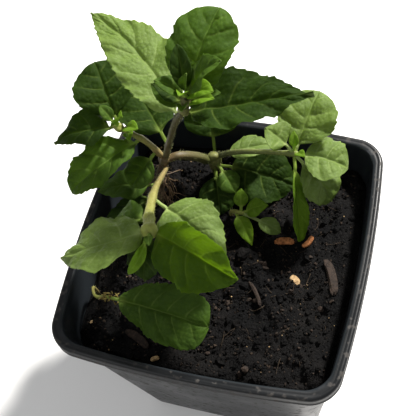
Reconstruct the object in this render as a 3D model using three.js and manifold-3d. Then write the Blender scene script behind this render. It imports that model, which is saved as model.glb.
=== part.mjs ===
// A young mint plant in a square plastic nursery pot: pot, soil, bark chips, stems and leaves.
// Millimetres, +Z up. The origin is the middle of the pot's underside, and the pot's sides face X and Y.
import * as THREE from "three";
import { mergeVertices } from "three/addons/utils/BufferGeometryUtils.js";
import Module from "manifold-3d";

const wasm = await Module();
wasm.setup();

// ---- Driving dimensions ----
const GAP = 0.3; // clearance between pieces that touch on the real object

// Pot. Half-widths are taken to the sharp corner that each rounded corner would have.
const POT_HEIGHT = 85;
const RIM_HALF = 45;
const RIM_WIDTH = 3;
const RIM_EDGE = 0.8; // rounding of the rim's edges
const SKIRT_HEIGHT = 5;
const WALL = 1.2;
const FOOT_HALF = 33;
const FLOOR = 2.6;
const RIM_CORNER = 8;
const FOOT_CORNER = 6;
const RIM_BOW = 2.6; // how far the middle of each side bulges out
const FOOT_BOW = 0.4;

// Underside: a raised middle pad and an outer foot, with a drained recess between them.
const PAD_RADIUS = 12;
const FOOT_WIDTH = 4;
const RECESS_DEPTH = 1.2;
const DRAIN_RADIUS = 3.5;
const DRAIN_OFFSET = 20;

// Soil
const SOIL_TOP = 73;
const SOIL_BUMP = 0.8;
const SOIL_SHOULDER = 1.5; // how far the soil's edge lies below its top
const SOCKET_DEPTH = 4;

// Leaves
const STEM_CLEARANCE = 0.5; // from a stem's surface to the start of a leaf
const BLADE_THICKNESS = 0.5;
const PETIOLE_THICKNESS = 0.9;
const EDGE_THICKNESS = 0.3;
const PETIOLE_HALF = 0.5;
const OUTLINE_POWER = 0.62;
const FOLD_POWER = 1.3;
const BLADE_STEPS = 8;

// ---- Colours ----
const COLOURS = {
  pot: "#17181b",
  soil: "#1d1612",
  crown_stem: "#5a4036",
  green_stem: "#7f9440",
  root: "#4a3626",
  leaf: "#3f7a2c",
  chip: "#9a5a2c",
};

const STEM_SIDES = 8;

// name, colour, radius, points from the lower end to the upper end
const STEMS = [
  ["centre_stem", "green_stem", 1.6, [[-11, 32, 69.3], [-11, 31.5, 78], [-9.5, 30, 86]]],
  ["runner_stem", "crown_stem", 1.4, [[-11.5, 28, 87], [-14, 25, 93], [-18, 22, 97], [-21.5, 20, 97]]],
  ["crown_stem", "crown_stem", 0.9, [[-21.5, 20, 99], [-17, 17, 112], [-11, 14, 128], [-6, 12, 138], [-4, 12, 144]]],
  ["left_stem", "green_stem", 0.9, [[-23.5, 20.5, 98], [-28, 21, 105], [-36, 21, 111]]],
  ["front_stem", "green_stem", 1.3, [[-21.5, 18, 95], [-20.5, 6, 101.5], [-17.5, -6, 107.5], [-14, -14, 112]]],
  ["right_stem", "crown_stem", 0.9, [[-7, 30, 88], [-1, 29.5, 92], [8, 29, 95], [19, 28, 98]]],
  ["sprout_stem", "green_stem", 0.6, [[-2, 16, 69.3], [-1.8, 16, 75], [0, 15.2, 77.5], [2.5, 14.5, 78.5]]],
  ["root_stem", "root", 1.2, [[-29, 16, 69.3], [-27, 17, 82], [-24, 18.3, 94]]],
  ["ground_stem", "green_stem", 0.5, [[-39, -20, 69.3], [-39, -21, 78], [-36, -25, 81], [-31, -25, 82.5]]],
];

// Each leaf starts on its stem's surface, runs along its heading and rise, and ends in a pointed tip.
// name, stem, place along stem (0 to 1), heading, rise, length, width, petiole length,
// widest place (0 to 1), arch, fold, roll, sweep. Angles are in degrees; arch and sweep are shares of length.
const LEAVES = [
  ["crown_leaf_left", "crown_stem", 0.6, 141, 10, 43.5, 19, 1, 0.38, 0.03, 0.12, 0, -0.06],
  ["crown_leaf_right", "crown_stem", 0.68, 13, 8, 35.5, 21, 1, 0.34, 0, 0.38, 0, 0],
  ["crown_leaf_back", "crown_stem", 0.82, 74, 34, 26.3, 20, 2, 0.55, 0.12, 0.15, 0, 0],
  ["crown_young_right", "crown_stem", 1, 14, 52, 16, 10, 2, 0.45, 0.08, 0.25, 0, 0],
  ["crown_young_left", "crown_stem", 1, 110, 58, 13, 6, 1, 0.5, 0.08, 0.4, 0, 0],
  ["left_leaf_round", "left_stem", 0.95, 124, 31, 21, 20, 3, 0.5, 0.1, 0.1, 0, 0],
  ["left_leaf_back", "crown_stem", 0.2, 131, -3, 31, 20, 4, 0.42, 0.08, 0.1, 0, 0],
  ["left_leaf_end", "left_stem", 1, -159, -6, 20, 14, 1, 0.35, 0.1, 0.3, 0, 0],
  ["left_leaf_front", "left_stem", 0.58, -130, -8, 26.5, 16, 1, 0.55, 0.08, 0.3, 0, 0],
  ["left_leaf_low", "left_stem", 0.15, -118, -20, 13, 12, 2, 0.45, 0.08, 0.15, 0, 0],
  ["front_leaf_left", "front_stem", 1, -160, -14, 28, 21, 0.6, 0.4, 0.08, 0.15, -15, 0.04],
  ["front_leaf_right", "front_stem", 1, -19, -5, 28, 22, 0.6, 0.45, 0.06, 0.4, -48, 0],
  ["ground_leaf", "ground_stem", 1, -9, 8, 35, 19, 3, 0.68, 0.04, 0.15, -28, 0],
  ["front_leaf_side", "front_stem", 0.45, -30, -1, 30, 19, 5, 0.38, 0.08, 0.15, 0, 0],
  ["front_leaf_back", "front_stem", 0.75, 175, -35, 16, 12, 2, 0.38, 0.08, 0.15, 0, 0],
  ["front_young", "front_stem", 1, -98, -52, 15, 12, 0.6, 0.38, 0.08, 0.4, 0, 0],
  ["right_leaf_top", "right_stem", 1, 76, 24, 20, 20, 2, 0.5, 0.1, 0.15, 0, 0],
  ["right_leaf_small", "right_stem", 1, 160, 38, 11, 11, 3, 0.42, 0.1, 0.15, 0, 0],
  ["right_leaf_end", "right_stem", 1, -3, -8, 16, 16, 2, 0.5, 0.1, 0.15, 0, 0],
  ["right_leaf_low", "right_stem", 1, -29, -42, 19, 14, 3, 0.5, 0.1, 0.15, 0, 0],
  ["right_leaf_hanging", "right_stem", 1, -76, -46, 28, 7, 4, 0.6, 0.06, 0.45, 40, 0],
  ["centre_leaf_back", "centre_stem", 1, 103, 40, 20, 19, 5, 0.38, 0.08, 0.15, 0, 0],
  ["centre_leaf_pale", "centre_stem", 1, 22, 3, 18, 9, 3, 0.45, 0.08, 0.15, 0, 0],
  ["centre_leaf_shaded", "centre_stem", 0.6, -2, -12, 27, 22, 4, 0.42, 0.08, 0.15, -20, 0],
  ["centre_leaf_front", "centre_stem", 0.62, -72, -18, 16, 13, 3, 0.5, 0.08, 0.15, 0, 0],
  ["centre_young", "centre_stem", 0.9, -46, -22, 11.5, 8, 3, 0.45, 0.08, 0.15, 0, 0],
  ["sprout_leaf_back", "sprout_stem", 1, 100, 30, 7, 5, 1, 0.4, 0.08, 0.15, 0, 0],
  ["sprout_leaf_end", "sprout_stem", 1, 14, 25, 9, 7, 1, 0.4, 0.08, 0.15, 0, 0],
  ["sprout_leaf_side", "sprout_stem", 1, -18, -3, 14, 6, 6, 0.5, 0.08, 0.15, 0, 0],
  ["sprout_leaf_low", "sprout_stem", 0.7, -52, -12, 12, 6, 1, 0.4, 0.12, 0.4, 0, 0],
  ["low_leaf_back", "root_stem", 0.6, -161, 5, 19, 12, 2, 0.38, 0.08, 0.15, 0, 0],
  ["low_leaf_front", "root_stem", 0.4, -123, 2, 23, 12, 2, 0.38, 0.08, 0.15, 0, 0],
];

// name, middle x, middle y, length, width, thickness, heading
const CHIPS = [
  ["bark_chip_long", 18.5, 9, 6, 2.6, 1.4, 10],
  ["bark_chip_small", 26, 10.5, 4.5, 2, 1.2, 60],
  ["bark_chip_round", 24.5, -4, 3.6, 2.6, 1.4, -40],
  ["bark_stick", 13.5, -12, 8.5, 1.4, 1.4, -55],
  ["bark_slab", 36, -2, 12, 3.2, 1.6, -68],
  ["bark_chip_left", -20, -34, 9, 2.8, 1.6, -25],
  ["pale_chip", -13, -39, 2.6, 1.6, 1.2, 30],
  ["pale_seed", -37, -31, 1.8, 1.4, 1.1, 20],
];

// ---- Closed surfaces from rings ----
// Each ring holds the same number of points, anticlockwise seen from beyond the last ring.
function loftGeometry(rings) {
  const count = rings[0].length;
  const positions = rings.flat(2);
  const faces = [];
  for (let r = 0; r + 1 < rings.length; r++) {
    for (let k = 0; k < count; k++) {
      const a = r * count + k;
      const b = r * count + ((k + 1) % count);
      faces.push(a, b, b + count, a, b + count, a + count);
    }
  }
  const last = (rings.length - 1) * count;
  for (let k = 1; k + 1 < count; k++) {
    faces.push(0, k + 1, k);
    faces.push(last, last + k, last + k + 1);
  }
  const geometry = new THREE.BufferGeometry();
  geometry.setAttribute("position", new THREE.Float32BufferAttribute(positions, 3));
  geometry.setIndex(faces);
  geometry.computeVertexNormals();
  return geometry;
}

// ---- Cutting ----
function toSolid(geometry) {
  const bare = geometry.clone();
  bare.deleteAttribute("normal");
  bare.deleteAttribute("uv");
  const merged = mergeVertices(bare, 1e-4);
  return new wasm.Manifold(
    new wasm.Mesh({
      numProp: 3,
      vertProperties: new Float32Array(merged.attributes.position.array),
      triVerts: new Uint32Array(merged.index.array),
    }),
  );
}

function toGeometry(solid) {
  const mesh = solid.getMesh();
  const geometry = new THREE.BufferGeometry();
  geometry.setAttribute("position", new THREE.Float32BufferAttribute(mesh.vertProperties, 3));
  geometry.setIndex([...mesh.triVerts]);
  geometry.computeVertexNormals();
  return geometry;
}

function uprightCylinder(radius, x, y, low, high, sides = 24) {
  return new THREE.CylinderGeometry(radius, radius, high - low, sides)
    .rotateX(Math.PI / 2)
    .translate(x, y, (low + high) / 2);
}

// ---- Pot ----
const CORNER_STEPS = 5;
const SIDE_STEPS = 4;

// A square outline with rounded corners and sides that bow outwards.
function outline(half, corner, bow, z) {
  const points = [];
  const bowed = (a, b) => a * (1 + (bow / half) * (1 - (b / half) ** 2));
  const add = (x, y) => points.push([bowed(x, y), bowed(y, x), z]);
  const flat = half - corner;
  for (let side = 0; side < 4; side++) {
    const turn = (side * Math.PI) / 2;
    const place = (x, y) =>
      add(x * Math.cos(turn) - y * Math.sin(turn), x * Math.sin(turn) + y * Math.cos(turn));
    for (let k = 0; k < SIDE_STEPS; k++) place(half, flat * ((2 * k) / SIDE_STEPS - 1));
    for (let k = 0; k < CORNER_STEPS; k++) {
      const angle = (k / CORNER_STEPS) * (Math.PI / 2);
      place(flat + corner * Math.cos(angle), flat + corner * Math.sin(angle));
    }
  }
  return points;
}

// The pot's outer wall at a height, set in by a distance.
function wallOutline(z, inset) {
  const share = z / POT_HEIGHT;
  const half = FOOT_HALF + (RIM_HALF - RIM_WIDTH + WALL - FOOT_HALF) * share - inset;
  const corner = FOOT_CORNER + (RIM_CORNER - FOOT_CORNER) * share - inset;
  return outline(half, corner, FOOT_BOW + (RIM_BOW - FOOT_BOW) * share, z);
}

function rimOutline(z, inset) {
  return outline(RIM_HALF - inset, RIM_CORNER - inset, RIM_BOW, z);
}

function potGeometry() {
  const skirt = POT_HEIGHT - SKIRT_HEIGHT;
  let solid = toSolid(
    loftGeometry([
      wallOutline(0, 1),
      wallOutline(1, 0),
      wallOutline(skirt, 0),
      rimOutline(skirt, 0.4),
      rimOutline(skirt + 0.6, 0),
      rimOutline(POT_HEIGHT - RIM_EDGE, 0),
      rimOutline(POT_HEIGHT, RIM_EDGE),
      rimOutline(POT_HEIGHT, RIM_WIDTH - RIM_EDGE),
      wallOutline(POT_HEIGHT - RIM_EDGE, WALL),
      wallOutline(FLOOR + 2, WALL),
      wallOutline(FLOOR, WALL + 1.5),
    ]),
  );
  const recess = toSolid(
    loftGeometry([
      outline(FOOT_HALF - FOOT_WIDTH, FOOT_CORNER - 1, 0, -1),
      outline(FOOT_HALF - FOOT_WIDTH, FOOT_CORNER - 1, 0, RECESS_DEPTH),
    ]),
  ).subtract(toSolid(uprightCylinder(PAD_RADIUS, 0, 0, -2, RECESS_DEPTH + 1, 32)));
  solid = solid.subtract(recess);
  for (let side = 0; side < 8; side++) {
    const reach = DRAIN_OFFSET * (side % 2 ? Math.SQRT2 : 1);
    const angle = (side * Math.PI) / 4;
    const hole = uprightCylinder(
      DRAIN_RADIUS,
      reach * Math.cos(angle),
      reach * Math.sin(angle),
      -1,
      FLOOR + 1,
    );
    solid = solid.subtract(toSolid(hole));
  }
  return toGeometry(solid);
}

// ---- Soil ----
function soilHeight(x, y) {
  const waves = Math.sin(x / 7 + 1) * Math.cos(y / 9) + 0.5 * Math.sin((x + y) / 4);
  return SOIL_TOP + SOIL_BUMP * waves;
}

function soilGeometry() {
  const side = WALL + 1.5 * GAP;
  const edge = wallOutline(SOIL_TOP - SOIL_SHOULDER, side);
  const rings = [
    wallOutline(FLOOR + GAP, side + 2),
    wallOutline(FLOOR + 3, side),
    edge,
  ];
  for (const share of [0.97, 0.85, 0.7, 0.55, 0.4, 0.25, 0.1]) {
    rings.push(edge.map(([x, y]) => [x * share, y * share, soilHeight(x * share, y * share)]));
  }
  let solid = toSolid(loftGeometry(rings));
  for (const [, , radius, points] of STEMS) {
    const [x, y, z] = points[0];
    if (z > SOIL_TOP) continue;
    const socket = uprightCylinder(radius + 0.6, x, y, SOIL_TOP - SOCKET_DEPTH, SOIL_TOP + 4, 12);
    solid = solid.subtract(toSolid(socket));
  }
  return toGeometry(solid);
}

// ---- Bark chips and the seed, lying on the soil ----
function chipGeometry([, x, y, length, width, thickness, heading]) {
  const rings = [
    [0, 0.5, 0.4],
    [0.15, 0.9, 0.8],
    [0.6, 1, 1],
    [1, 0.55, 0.5],
  ].map(([along, wide, thick]) => {
    const w = (width / 2) * wide;
    const t = thickness * thick;
    const u = (along - 0.5) * length;
    return [[u, w, 0], [u, 0.4 * w, t], [u, -0.5 * w, 0.8 * t], [u, -w, 0]];
  });
  const geometry = loftGeometry(rings);
  geometry.rotateZ((heading * Math.PI) / 180);
  const reach = length / 2;
  let rest = 0;
  for (let k = 0; k <= 8; k++) {
    const along = (k / 4 - 1) * reach;
    const angle = (heading * Math.PI) / 180;
    rest = Math.max(rest, soilHeight(x + along * Math.cos(angle), y + along * Math.sin(angle)));
  }
  return geometry.translate(x, y, rest + GAP + 0.1);
}

// ---- Stems ----
const curves = new Map(
  STEMS.map(([name, , , points]) => [
    name,
    new THREE.CatmullRomCurve3(points.map((p) => new THREE.Vector3(...p)), false, "catmullrom", 0.5),
  ]),
);
const stemRadius = new Map(STEMS.map(([name, , radius]) => [name, radius]));

function stemGeometry(name) {
  const section = new THREE.Shape();
  section.absarc(0, 0, stemRadius.get(name), 0, 2 * Math.PI);
  return new THREE.ExtrudeGeometry(section, {
    steps: 10,
    curveSegments: STEM_SIDES / 2,
    extrudePath: curves.get(name),
    bevelEnabled: false,
  });
}

// ---- Leaves ----
// Half-width of the blade as a share of its widest, at a place from 0 at its base to 1 at its tip.
function bladeShare(place, widest) {
  const tipPower = (OUTLINE_POWER * (1 - widest)) / widest;
  const s = Math.min(Math.max(place, 1e-6), 1 - 1e-6);
  const peak = widest ** OUTLINE_POWER * (1 - widest) ** tipPower;
  return (s ** OUTLINE_POWER * (1 - s) ** tipPower) / peak;
}

function leafGeometry(leaf) {
  const [, stem, at, heading, rise, length, width, petiole, widest, arch, fold, roll, sweep] = leaf;
  const h = THREE.MathUtils.degToRad(heading);
  const e = THREE.MathUtils.degToRad(rise);
  const r = THREE.MathUtils.degToRad(roll);
  const along = new THREE.Vector3(Math.cos(h) * Math.cos(e), Math.sin(h) * Math.cos(e), Math.sin(e));
  const up = new THREE.Vector3(-Math.cos(h) * Math.sin(e), -Math.sin(h) * Math.sin(e), Math.cos(e));
  const left = new THREE.Vector3().crossVectors(up, along);
  const face = up.clone().multiplyScalar(Math.cos(r)).addScaledVector(left, Math.sin(r));
  const side = left.clone().multiplyScalar(Math.cos(r)).addScaledVector(up, -Math.sin(r));
  const base = curves.get(stem).getPoint(at).addScaledVector(along, stemRadius.get(stem) + STEM_CLEARANCE);

  const ring = (distance) => {
    const s = distance / length;
    const bend = 4 * s * (1 - s) * length;
    const place = (distance - petiole) / (length - petiole);
    const half = Math.max(place > 0 ? (width / 2) * bladeShare(place, widest) : 0, PETIOLE_HALF);
    const thickness = place > 0 ? BLADE_THICKNESS : PETIOLE_THICKNESS;
    const middle = base
      .clone()
      .addScaledVector(along, distance)
      .addScaledVector(up, arch * bend)
      .addScaledVector(left, sweep * bend);
    const point = (t, rise) =>
      middle
        .clone()
        .addScaledVector(side, t * half * Math.sqrt(1 - (fold * t) ** 2))
        .addScaledVector(face, fold * half * Math.abs(t) ** FOLD_POWER + rise)
        .toArray();
    const edge = EDGE_THICKNESS / 2;
    const core = thickness / 2;
    return [point(-1, -edge), point(0, -core), point(1, -edge), point(1, edge), point(0, core), point(-1, edge)];
  };

  const distances = [0, petiole];
  for (let k = 1; k <= BLADE_STEPS; k++) distances.push(petiole + ((length - petiole) * k) / BLADE_STEPS);
  return loftGeometry(distances.map(ring));
}

// ---- The object ----
function piece(name, geometry, colour, roughness) {
  const mesh = new THREE.Mesh(
    geometry,
    new THREE.MeshStandardMaterial({ color: COLOURS[colour], roughness, metalness: 0 }),
  );
  mesh.name = name;
  return mesh;
}

const plant = new THREE.Group();
plant.add(piece("pot", potGeometry(), "pot", 0.45));
plant.add(piece("soil", soilGeometry(), "soil", 0.95));
for (const chip of CHIPS) plant.add(piece(chip[0], chipGeometry(chip), "chip", 0.9));
for (const [name, colour] of STEMS) plant.add(piece(name, stemGeometry(name), colour, 0.6));
for (const leaf of LEAVES) plant.add(piece(leaf[0], leafGeometry(leaf), "leaf", 0.55));

export default plant;
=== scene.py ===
"""A young mint plant in a square nursery pot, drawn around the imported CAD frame."""
import math

import bmesh
import bpy
import numpy as np
from mathutils import Matrix, Vector


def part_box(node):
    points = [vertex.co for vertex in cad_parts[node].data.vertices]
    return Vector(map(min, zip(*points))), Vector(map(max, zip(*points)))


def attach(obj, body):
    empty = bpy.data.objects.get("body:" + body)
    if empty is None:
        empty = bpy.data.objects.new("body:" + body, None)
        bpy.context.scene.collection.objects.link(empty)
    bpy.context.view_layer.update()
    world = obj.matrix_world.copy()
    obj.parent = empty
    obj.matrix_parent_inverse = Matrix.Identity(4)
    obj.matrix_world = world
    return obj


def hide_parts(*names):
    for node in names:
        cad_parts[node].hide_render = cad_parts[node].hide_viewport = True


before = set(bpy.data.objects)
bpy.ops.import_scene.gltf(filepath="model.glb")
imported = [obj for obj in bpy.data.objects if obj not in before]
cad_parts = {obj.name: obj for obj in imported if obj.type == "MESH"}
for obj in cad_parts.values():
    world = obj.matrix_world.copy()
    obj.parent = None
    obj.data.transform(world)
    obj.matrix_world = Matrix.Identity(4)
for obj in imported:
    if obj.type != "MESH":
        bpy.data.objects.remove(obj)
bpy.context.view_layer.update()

MM = 0.001

# ---- Camera: above the front right corner of the pot, tilted a little ----
CAMERA_AZIMUTH = 29.2
CAMERA_ELEVATION = 58.6
CAMERA_ROLL = -16.7
CAMERA_DISTANCE = 277.3 * MM
CAMERA_LENS = 73.1
CAMERA_AIM = (-7.1 * MM, 10.9 * MM)  # the point of the rim's plane that it looks at

# ---- Sizes taken from the frame ----
POT_LOW, POT_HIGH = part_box("pot")
RIM_Z = POT_HIGH.z
POT_HEIGHT = round((POT_HIGH.z - POT_LOW.z) / MM)
ROOT = "root"


# ---- Small helpers ----
def unit(v):
    return v / np.linalg.norm(v)


def rng_for(name):
    """A random generator that depends only on the piece's name."""
    return np.random.default_rng(sum(ord(c) * (k + 1) for k, c in enumerate(name)))


def waves(points, size, seed, octaves=3):
    """Smooth noise from -1 to 1 at each point, as a sum of turned sine waves of about that size."""
    rng = np.random.default_rng(seed)
    total = np.zeros(len(points))
    strength, weight = 1.0, 0.0
    for octave in range(octaves):
        for _ in range(3):
            direction = unit(rng.normal(size=3)) * 2 * math.pi / (size / 2**octave)
            total += strength * np.sin(points @ direction + rng.uniform(0, 2 * math.pi))
            weight += strength / 1.7
        strength *= 0.5
    return total / weight


def smooth(x):
    x = np.clip(x, 0, 1)
    return x * x * (3 - 2 * x)


def mesh_object(name, vertices, faces):
    """A mesh object in the scene, from vertices in metres."""
    mesh = bpy.data.meshes.new(name)
    faces = faces.tolist() if isinstance(faces, np.ndarray) else faces
    mesh.from_pydata(np.asarray(vertices).tolist(), [], faces)
    obj = bpy.data.objects.new(name, mesh)
    bpy.context.scene.collection.objects.link(obj)
    return obj


def make_piece(name, vertices, faces, materials, replaced=(), attributes=None, shade=True):
    """A piece of the plant that rides on the one body."""
    obj = mesh_object(name, vertices, faces)
    mesh = obj.data
    for key, values in (attributes or {}).items():
        layer = mesh.attributes.new(key, "FLOAT", "POINT")
        layer.data.foreach_set("value", np.asarray(values, np.float32))
    mesh.validate()
    for material in materials:
        mesh.materials.append(material)
    if shade:
        mesh.shade_smooth()
    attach(obj, ROOT)
    if replaced:
        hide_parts(*replaced)
    return obj


def loft(rings):
    """Vertices and faces of a closed surface through rings that hold the same number of points."""
    count = len(rings[0])
    vertices = np.concatenate(rings)
    faces = []
    for r in range(len(rings) - 1):
        for k in range(count):
            a, b = r * count + k, r * count + (k + 1) % count
            faces.append((a, b, b + count, a + count))
    faces.append(tuple(reversed(range(count))))
    last = (len(rings) - 1) * count
    faces.append(tuple(range(last, last + count)))
    return vertices, faces


def joined(parts):
    """Several (vertices, faces) shapes as one."""
    vertices, faces, first = [], [], 0
    for part, part_faces in parts:
        vertices.append(part)
        faces += [tuple(v + first for v in face) for face in part_faces]
        first += len(part)
    return np.concatenate(vertices), faces


STRAND_SIDES = 6
STRAND_TIP = 0.35  # its last radius as a share of its first


def strand(points, radius):
    """A thin closed strand along the points, tapering to its end."""
    slopes = np.gradient(points, axis=0)
    slopes /= np.linalg.norm(slopes, axis=1)[:, None]
    across = np.cross(slopes, [0.3, 0.2, 0.93])
    across /= np.linalg.norm(across, axis=1)[:, None]
    other = np.cross(slopes, across)
    taper = radius * np.linspace(1, STRAND_TIP, len(points))[:, None]
    turns = np.linspace(0, 2 * math.pi, STRAND_SIDES, endpoint=False)
    corners = [points + taper * (math.cos(a) * across + math.sin(a) * other) for a in turns]
    return loft(list(np.stack(corners, axis=1)))


# ---- Materials ----
def new_material(name):
    """A node material, its node tree and its shader."""
    material = bpy.data.materials.new(name)
    material.use_nodes = True
    tree = material.node_tree
    return material, tree, tree.nodes["Principled BSDF"]


def add(tree, kind, **values):
    """A node with its input sockets set by name, and any other value as a property."""
    node = tree.nodes.new(kind)
    for key, value in values.items():
        if key in node.inputs:
            node.inputs[key].default_value = value
        else:
            setattr(node, key, value)
    return node


def coordinates(tree):
    return tree.nodes.new("ShaderNodeTexCoord").outputs["Object"]


def noise(tree, scale, detail=4.0, rough=0.6):
    """Noise of scale cells per metre over the object."""
    node = add(tree, "ShaderNodeTexNoise", Scale=scale, Detail=detail, Roughness=rough)
    tree.links.new(coordinates(tree), node.inputs["Vector"])
    return node.outputs["Fac"]


def attribute(tree, name):
    return add(tree, "ShaderNodeAttribute", attribute_name=name).outputs["Fac"]


def math_node(tree, operation, a, b):
    """The sum or product of two values, each a socket or a number."""
    node = add(tree, "ShaderNodeMath", operation=operation)
    for k, value in enumerate((a, b)):
        if isinstance(value, (int, float)):
            node.inputs[k].default_value = value
        else:
            tree.links.new(value, node.inputs[k])
    return node.outputs[0]


def mix(tree, share, first, second):
    """A mix of two colours, each a socket or a colour."""
    node = add(tree, "ShaderNodeMix", data_type="RGBA")
    for socket, value in ((node.inputs[0], share), (node.inputs[6], first), (node.inputs[7], second)):
        if hasattr(value, "links"):
            tree.links.new(value, socket)
        elif isinstance(value, (int, float)):
            socket.default_value = value
        else:
            socket.default_value = (*value, 1.0)
    return node.outputs[2]


def ramp(tree, value, stops):
    """A colour ramp from (place, colour) pairs."""
    node = tree.nodes.new("ShaderNodeValToRGB")
    tree.links.new(value, node.inputs[0])
    marks = node.color_ramp.elements
    while len(marks) < len(stops):
        marks.new(0.5)
    for mark, (place, colour) in zip(marks, stops):
        mark.position = place
        mark.color = (*colour, 1.0)
    return node.outputs[0]


def levels(tree, value, low, high, to_low=0.0, to_high=1.0):
    """The value with the range from low to high stretched over another, and clamped to it."""
    node = add(tree, "ShaderNodeMapRange")
    tree.links.new(value, node.inputs[0])
    for k, number in enumerate((low, high, to_low, to_high)):
        node.inputs[k + 1].default_value = number
    return node.outputs[0]


def bump(tree, shader, height, strength, distance):
    node = add(tree, "ShaderNodeBump", Strength=strength, Distance=distance)
    tree.links.new(height, node.inputs["Height"])
    tree.links.new(node.outputs[0], shader.inputs["Normal"])


def leaf_material(name, top, top_dark, under, vein, glow, rough=0.55, through=0.3, gloss=0.1):
    """Leaf tissue: a marbled matt blade with a fine pale speckle, partly its hairs and partly painted
    glints, painted shade along the sunken lines of its small-vein net, and light coming through it.
    """
    material, tree, shader = new_material(name)
    grain = noise(tree, 1500, 4, 0.75)
    patch = noise(tree, 160, 4)
    cell = noise(tree, 3200, 2)
    ribs = attribute(tree, "vein")
    blade = mix(tree, levels(tree, patch, 0.3, 0.7), top, top_dark)
    # Painted shade: the sunken lines of the small-vein net are darkened towards the darker colour.
    blade = mix(tree, levels(tree, attribute(tree, "vein_net_painted_shade"), 0.0, 1.0, 0.0, 0.6), blade, top_dark)
    # A fine pale speckle: partly the leaf's pale hairs, partly painted glints of light on them.
    blade = mix(tree, levels(tree, grain, 0.5, 0.75, 0.0, 0.45), blade, under)
    blade = mix(tree, levels(tree, ribs, 0.35, 0.95, 0.0, 0.45), blade, vein)
    beneath = mix(tree, levels(tree, ribs, 0.2, 0.8, 0.0, 0.9), under, vein)
    colour = mix(tree, attribute(tree, "under"), blade, beneath)
    colour = mix(tree, attribute(tree, "petiole"), colour, vein)
    tree.links.new(colour, shader.inputs["Base Color"])
    tree.links.new(levels(tree, cell, 0.3, 0.7, rough - 0.1, rough + 0.15), shader.inputs["Roughness"])
    shader.inputs["Specular IOR Level"].default_value = gloss
    bump(tree, shader, math_node(tree, "ADD", math_node(tree, "MULTIPLY", cell, 0.5), grain), 0.7, 0.0003)
    passing = add(tree, "ShaderNodeBsdfTranslucent")
    tree.links.new(mix(tree, 0.6, colour, glow), passing.inputs["Color"])
    both = add(tree, "ShaderNodeMixShader")
    both.inputs[0].default_value = through
    tree.links.new(shader.outputs[0], both.inputs[1])
    tree.links.new(passing.outputs[0], both.inputs[2])
    tree.links.new(both.outputs[0], tree.nodes["Material Output"].inputs["Surface"])
    return material


HAIR_COLOUR = (0.36, 0.4, 0.17)


def stem_material(name, low, high):
    """Stem skin that runs from one colour at its lower end to another, with fine streaks."""
    material, tree, shader = new_material(name)
    along = attribute(tree, "along")
    streak = noise(tree, 700, 4)
    colour = mix(tree, levels(tree, along, 0.1, 0.9), low, high)
    colour = mix(tree, levels(tree, streak, 0.4, 0.75, 0.0, 0.5), colour, tuple(0.45 * c for c in low))
    colour = mix(tree, attribute(tree, "hair"), colour, HAIR_COLOUR)
    tree.links.new(colour, shader.inputs["Base Color"])
    shader.inputs["Roughness"].default_value = 0.5
    shader.inputs["Specular IOR Level"].default_value = 0.25
    shader.inputs["Subsurface Weight"].default_value = 0.15
    shader.inputs["Subsurface Radius"].default_value = (0.001, 0.0012, 0.0004)
    bump(tree, shader, streak, 0.4, 0.0003)
    return material


def soil_material():
    """Dark damp compost, with darker damp patches, paler crumbs and a faint shine."""
    material, tree, shader = new_material("soil")
    lumps = noise(tree, 260, 6, 0.7)
    dust = noise(tree, 1500, 3)
    tint = attribute(tree, "tint")
    damp = noise(tree, 75, 4, 0.65)
    colour = ramp(tree, lumps, [(0.3, (0.0012, 0.0011, 0.0012)), (0.6, (0.0045, 0.004, 0.0038)),
                                (0.8, (0.02, 0.016, 0.013))])
    colour = mix(tree, levels(tree, damp, 0.44, 0.58, 0.0, 0.85), colour, (0.0006, 0.0006, 0.0008))
    colour = mix(tree, levels(tree, tint, 0.45, 1.0, 0.0, 0.8), colour, (0.05, 0.036, 0.026))
    tree.links.new(colour, shader.inputs["Base Color"])
    tree.links.new(levels(tree, dust, 0.3, 0.7, 0.5, 0.95), shader.inputs["Roughness"])
    shader.inputs["Specular IOR Level"].default_value = 0.1
    bump(tree, shader, math_node(tree, "ADD", lumps, dust), 0.9, 0.0008)
    return material


def bark_material(name, dark, light):
    """Fibrous bark or dry husk."""
    material, tree, shader = new_material(name)
    fibre = noise(tree, 900, 5, 0.7)
    brightest = tuple(min(1, 1.4 * c) for c in light)
    colour = ramp(tree, fibre, [(0.3, dark), (0.62, light), (0.85, brightest)])
    tree.links.new(colour, shader.inputs["Base Color"])
    shader.inputs["Roughness"].default_value = 0.75
    shader.inputs["Specular IOR Level"].default_value = 0.2
    bump(tree, shader, fibre, 0.7, 0.0005)
    return material


def pot_material():
    """Black moulded plastic with a satin skin, dust and dried water marks outside, and a paler inside
    that is painted light.
    """
    material, tree, shader = new_material("pot")
    smear = noise(tree, 60, 5, 0.65)
    grit = noise(tree, 1400, 3, 0.7)
    spots = noise(tree, 420, 2, 0.5)
    cloudy = levels(tree, smear, 0.4, 0.8, 0.0, 0.5)
    colour = mix(tree, cloudy, (0.005, 0.0058, 0.0068), (0.009, 0.01, 0.0115))
    dirt = math_node(tree, "MULTIPLY", levels(tree, spots, 0.58, 0.68), attribute(tree, "outer"))
    colour = mix(tree, math_node(tree, "MULTIPLY", dirt, 0.5), colour, (0.07, 0.062, 0.055))
    # Painted light: the inner walls get a paler colour than the outside, standing in for the light that
    # reaches them.
    colour = mix(tree, attribute(tree, "outer"), (0.014, 0.017, 0.02), colour)
    tree.links.new(colour, shader.inputs["Base Color"])
    rough = levels(tree, smear, 0.3, 0.75, 0.28, 0.5)
    rough = math_node(tree, "ADD", rough, math_node(tree, "MULTIPLY", dirt, 0.3))
    tree.links.new(rough, shader.inputs["Roughness"])
    shader.inputs["Specular IOR Level"].default_value = 0.25
    bump(tree, shader, grit, 0.12, 0.0002)
    return material
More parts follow.
